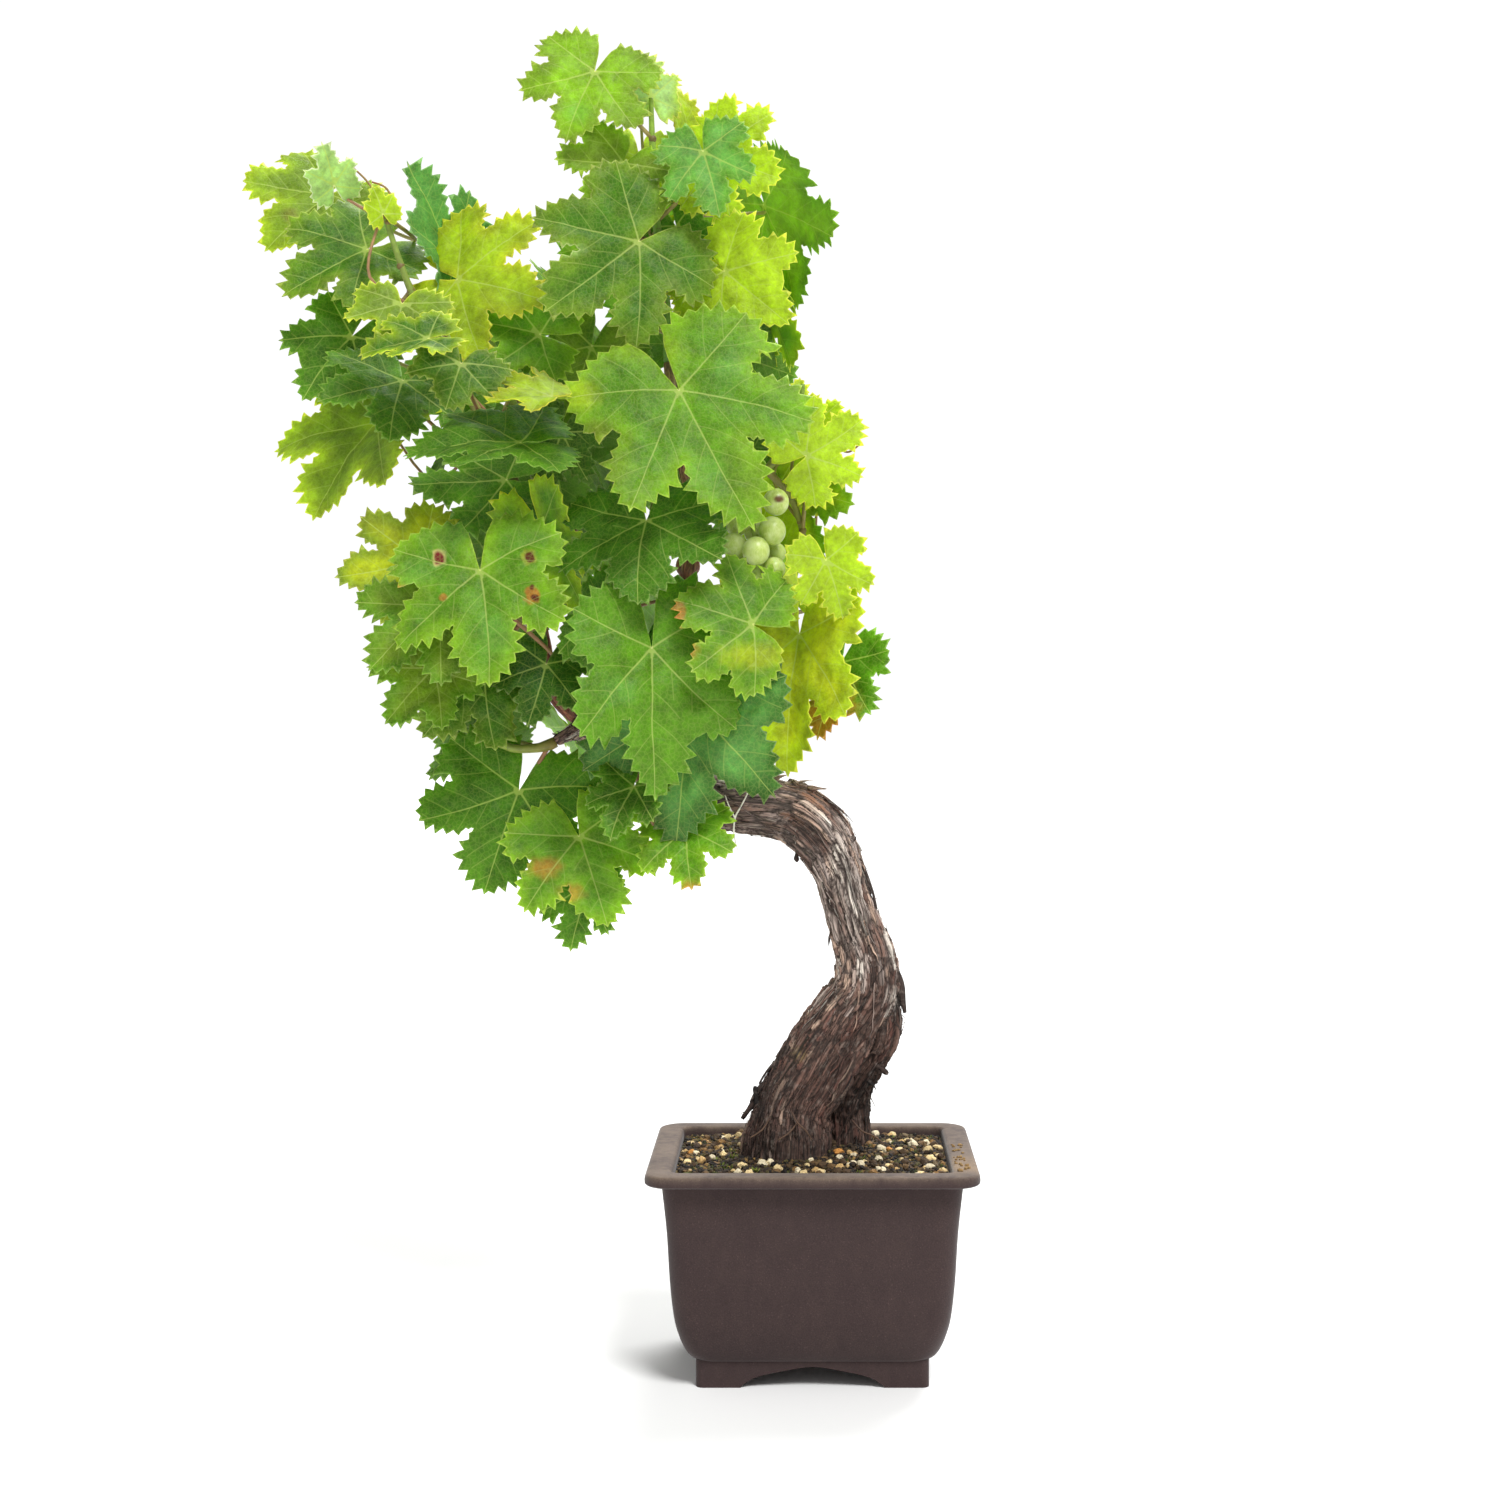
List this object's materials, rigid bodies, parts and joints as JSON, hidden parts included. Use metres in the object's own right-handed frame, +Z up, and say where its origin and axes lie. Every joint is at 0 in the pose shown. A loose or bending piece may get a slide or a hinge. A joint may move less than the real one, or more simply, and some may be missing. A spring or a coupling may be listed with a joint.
{
  "type": "grapevine bonsai",
  "caption": "Grapevine grown as a bonsai, with a leaning shaggy trunk, a crown of lobed toothed leaves and a small bunch of green grapes, standing in an unglazed rectangular stoneware pot.",
  "frame": {"origin": "under the middle of the whole plant's box, at the level of the pot's feet", "axes": "+Z up, -Y towards the front that the picture shows, +X to its right; the pot stands to the right of the origin because the crown leans left"},
  "size_m": [0.3974, 0.2786, 0.7032],
  "materials": {
    "stoneware": "unglazed, matt brown",
    "drain_mesh": "matt black",
    "soil": "moist grit with pale grains and moss",
    "bark": "rough, peeling in strips",
    "cane": "smooth red-brown bark",
    "leaf": "thin green leaf, satin",
    "grape": "soft translucent skin with a pale bloom"
  },
  "bodies": {
    "root": {"pot": "stoneware", "drain_mesh_left": "drain_mesh", "drain_mesh_right": "drain_mesh", "soil": "soil", "trunk": "bark", "cane_left": "cane", "cane_centre": "cane", "shoot_top": "leaf", "shoot_left": "leaf", "shoot_left_front": "leaf", "shoot_middle": "leaf", "shoot_right": "leaf", "shoot_low": "leaf", "shoot_low_left": "leaf", "shoot_back_left": "leaf", "shoot_back_right": "leaf", "grape_bunch": "grape"}
  },
  "joints": []
}
